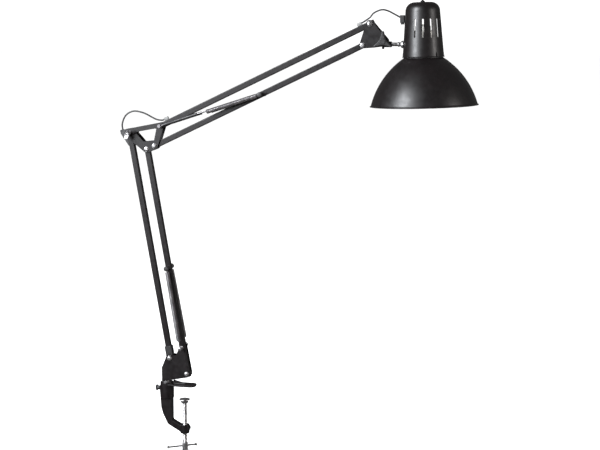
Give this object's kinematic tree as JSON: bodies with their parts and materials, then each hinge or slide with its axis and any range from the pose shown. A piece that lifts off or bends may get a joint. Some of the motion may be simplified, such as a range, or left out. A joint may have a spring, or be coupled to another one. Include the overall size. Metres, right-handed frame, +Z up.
{
  "type": "architect desk lamp",
  "caption": "Clamp-on architect desk lamp with two spring-balanced parallelogram arms, an elbow bracket, a tilting stem and a bell shade under a slotted lamp cup.",
  "frame": {"origin": "on the underside of the clamp's upper jaw, straight above the clamp screw: where the jaw rests on a desk's top face", "axes": "+Z up, +X from the post towards the desk and the lamp head, +Y to the back; both arms lie in the XZ plane"},
  "size_m": [0.5867, 0.17, 0.7542],
  "materials": {
    "black_paint": "satin",
    "black_shade_paint": "satin",
    "bright_steel": "satin",
    "spring_steel": "satin",
    "black_plastic": "matte",
    "grey_plastic": "satin",
    "white_holder": "satin",
    "frosted_glass": "satin",
    "cord_sheath": "satin"
  },
  "bodies": {
    "clamp": {"clamp_frame": "black_paint"},
    "pad": {"pressure_pad": "bright_steel"},
    "screw": {"clamp_screw": "bright_steel"},
    "tommy": {"tommy_bar": "bright_steel"},
    "thumb_screw": {"post_thumb_screw": "black_plastic"},
    "base": {"base_bracket": "black_paint", "base_post": "bright_steel", "base_washer": "bright_steel", "base_bolt_left": "bright_steel", "base_bolt_right": "bright_steel", "lower_spring_stud_front": "bright_steel", "lower_spring_stud_back": "bright_steel"},
    "lower_left": {"lower_bar_left": "black_paint", "lower_bar_ferrule": "black_plastic", "mains_lead_gland": "black_plastic", "elbow_cord_guide": "black_plastic"},
    "lower_right": {"lower_bar_right": "black_paint", "lower_spring_bolt": "bright_steel"},
    "lower_rods": {"lower_spring_hook_front": "spring_steel", "lower_spring_hook_back": "spring_steel"},
    "lower_coils": {"lower_spring_coil_front": "spring_steel", "lower_spring_coil_back": "spring_steel"},
    "elbow": {"elbow_plate_front": "black_paint", "elbow_plate_back": "black_paint", "elbow_bolt_lower": "bright_steel", "elbow_bolt_upper": "bright_steel", "elbow_lock_bolt": "bright_steel", "upper_spring_anchor": "bright_steel", "elbow_cord_loop": "cord_sheath"},
    "wing_nut": {"elbow_wing_nut": "bright_steel"},
    "upper_top": {"upper_bar_top": "black_paint", "cord_clip_elbow": "grey_plastic", "cord_clip_head": "grey_plastic"},
    "upper_bottom": {"upper_bar_bottom": "black_paint", "upper_spring_bolt": "bright_steel"},
    "upper_rods": {"upper_spring_hook_front": "spring_steel", "upper_spring_hook_back": "spring_steel"},
    "upper_coils": {"upper_spring_coil_front": "spring_steel", "upper_spring_coil_back": "spring_steel"},
    "head_bracket": {"head_plate_front": "black_paint", "head_plate_back": "black_paint", "head_bolt_top": "bright_steel", "head_bolt_bottom": "bright_steel", "tilt_bolt": "bright_steel", "head_cord_loop": "cord_sheath"},
    "knob": {"tilt_knob": "black_plastic"},
    "tilt_arm": {"head_knuckle": "black_paint", "head_stem": "bright_steel"},
    "head": {"lamp_cup": "black_shade_paint", "cup_top_screw": "black_paint", "ball_washer": "bright_steel", "stem_nut": "bright_steel", "shade": "black_shade_paint", "shade_ring": "black_plastic", "lampholder": "white_holder", "bulb": "frosted_glass", "cord_strain_relief": "black_plastic"}
  },
  "joints": [
    {"name": "clamp_screw_travel", "type": "slide", "parent": "clamp", "child": "pad", "axis": [0, 0, 1], "range_m": [-0.036, 0.016]},
    {"name": "clamp_screw_turn", "type": "hinge", "parent": "pad", "child": "screw", "pos_m": [0, 0, -0.026], "axis": [0, 0, 1], "range_deg": [-6480, 2880]},
    {"name": "tommy_bar_slide", "type": "slide", "parent": "screw", "child": "tommy", "axis": [0.8387, 0.5446, 0], "range_m": [-0.014, 0.024]},
    {"name": "post_thumb_screw_turn", "type": "hinge", "parent": "clamp", "child": "thumb_screw", "pos_m": [-0.045, 0, -0.006], "axis": [1, 0, 0], "range_deg": [0, 360]},
    {"name": "base_swivel", "type": "hinge", "parent": "clamp", "child": "base", "pos_m": [-0.0305, 0, 0], "axis": [0, 0, 1], "continuous": true},
    {"name": "lower_arm_swing", "type": "hinge", "parent": "base", "child": "lower_left", "pos_m": [-0.0237, 0, 0.0478], "axis": [0, 1, 0], "range_deg": [-20, 45]},
    {"name": "lower_right_bar_swing", "type": "hinge", "parent": "base", "child": "lower_right", "pos_m": [0.006, 0, 0.022], "axis": [0, 1, 0], "range_deg": [-20, 45]},
    {"name": "lower_spring_rod_swing", "type": "hinge", "parent": "base", "child": "lower_rods", "pos_m": [-0.00185, 0, 0.06733], "axis": [0, 1, 0], "range_deg": [-26, 58.5], "deforming": ["lower_spring_hook_front", "lower_spring_hook_back"]},
    {"name": "lower_spring_coil_swing", "type": "hinge", "parent": "lower_right", "child": "lower_coils", "pos_m": [-0.02504, 0, 0.20133], "axis": [0, 1, 0], "range_deg": [-6, 13.2], "deforming": ["lower_spring_coil_front", "lower_spring_coil_back"]},
    {"name": "elbow_level", "type": "hinge", "parent": "lower_left", "child": "elbow", "pos_m": [-0.08885, 0, 0.4242], "axis": [0, 1, 0], "range_deg": [-45, 20], "deforming": ["elbow_cord_loop"]},
    {"name": "elbow_wing_nut_turn", "type": "hinge", "parent": "elbow", "child": "wing_nut", "pos_m": [-0.08885, -0.012, 0.4242], "axis": [0, 1, 0], "range_deg": [0, 360]},
    {"name": "upper_arm_swing", "type": "hinge", "parent": "elbow", "child": "upper_top", "pos_m": [-0.03425, 0, 0.4372], "axis": [0, -1, 0], "range_deg": [-30, 28]},
    {"name": "upper_bottom_bar_swing", "type": "hinge", "parent": "elbow", "child": "upper_bottom", "pos_m": [-0.04555, 0, 0.4041], "axis": [0, -1, 0], "range_deg": [-30, 28]},
    {"name": "upper_spring_rod_swing", "type": "hinge", "parent": "elbow", "child": "upper_rods", "pos_m": [-0.03425, 0, 0.4372], "axis": [0, -1, 0], "range_deg": [-33.6, 31.4], "deforming": ["upper_spring_hook_front", "upper_spring_hook_back"]},
    {"name": "upper_spring_coil_swing", "type": "hinge", "parent": "upper_bottom", "child": "upper_coils", "pos_m": [0.13472, 0, 0.49071], "axis": [0, -1, 0], "range_deg": [-3.5, 3.3], "deforming": ["upper_spring_coil_front", "upper_spring_coil_back"]},
    {"name": "head_level", "type": "hinge", "parent": "upper_top", "child": "head_bracket", "pos_m": [0.31008, 0, 0.60262], "axis": [0, -1, 0], "range_deg": [-28, 30], "deforming": ["head_cord_loop"]},
    {"name": "head_tilt", "type": "hinge", "parent": "head_bracket", "child": "tilt_arm", "pos_m": [0.3317, 0, 0.5755], "axis": [0, 1, 0], "range_deg": [-45, 40]},
    {"name": "tilt_knob_turn", "type": "hinge", "parent": "head_bracket", "child": "knob", "pos_m": [0.3317, -0.012, 0.5755], "axis": [0, 1, 0], "range_deg": [-120, 120]},
    {"name": "shade_swivel", "type": "hinge", "parent": "tilt_arm", "child": "head", "pos_m": [0.355, 0, 0.5712], "axis": [1, 0, 0], "range_deg": [-75, 75]}
  ],
  "couplings": [
    {"joint": "clamp_screw_turn", "follows": "clamp_screw_travel", "rad_per_m": 3141.5},
    {"joint": "lower_right_bar_swing", "follows": "lower_arm_swing", "ratio": 1},
    {"joint": "lower_spring_rod_swing", "follows": "lower_arm_swing", "ratio": 1.285},
    {"joint": "lower_spring_coil_swing", "follows": "lower_arm_swing", "ratio": 0.285},
    {"joint": "elbow_level", "follows": "lower_arm_swing", "ratio": -1},
    {"joint": "upper_bottom_bar_swing", "follows": "upper_arm_swing", "ratio": 1},
    {"joint": "upper_spring_rod_swing", "follows": "upper_arm_swing", "ratio": 1.115},
    {"joint": "upper_spring_coil_swing", "follows": "upper_arm_swing", "ratio": 0.115},
    {"joint": "head_level", "follows": "upper_arm_swing", "ratio": -1}
  ]
}
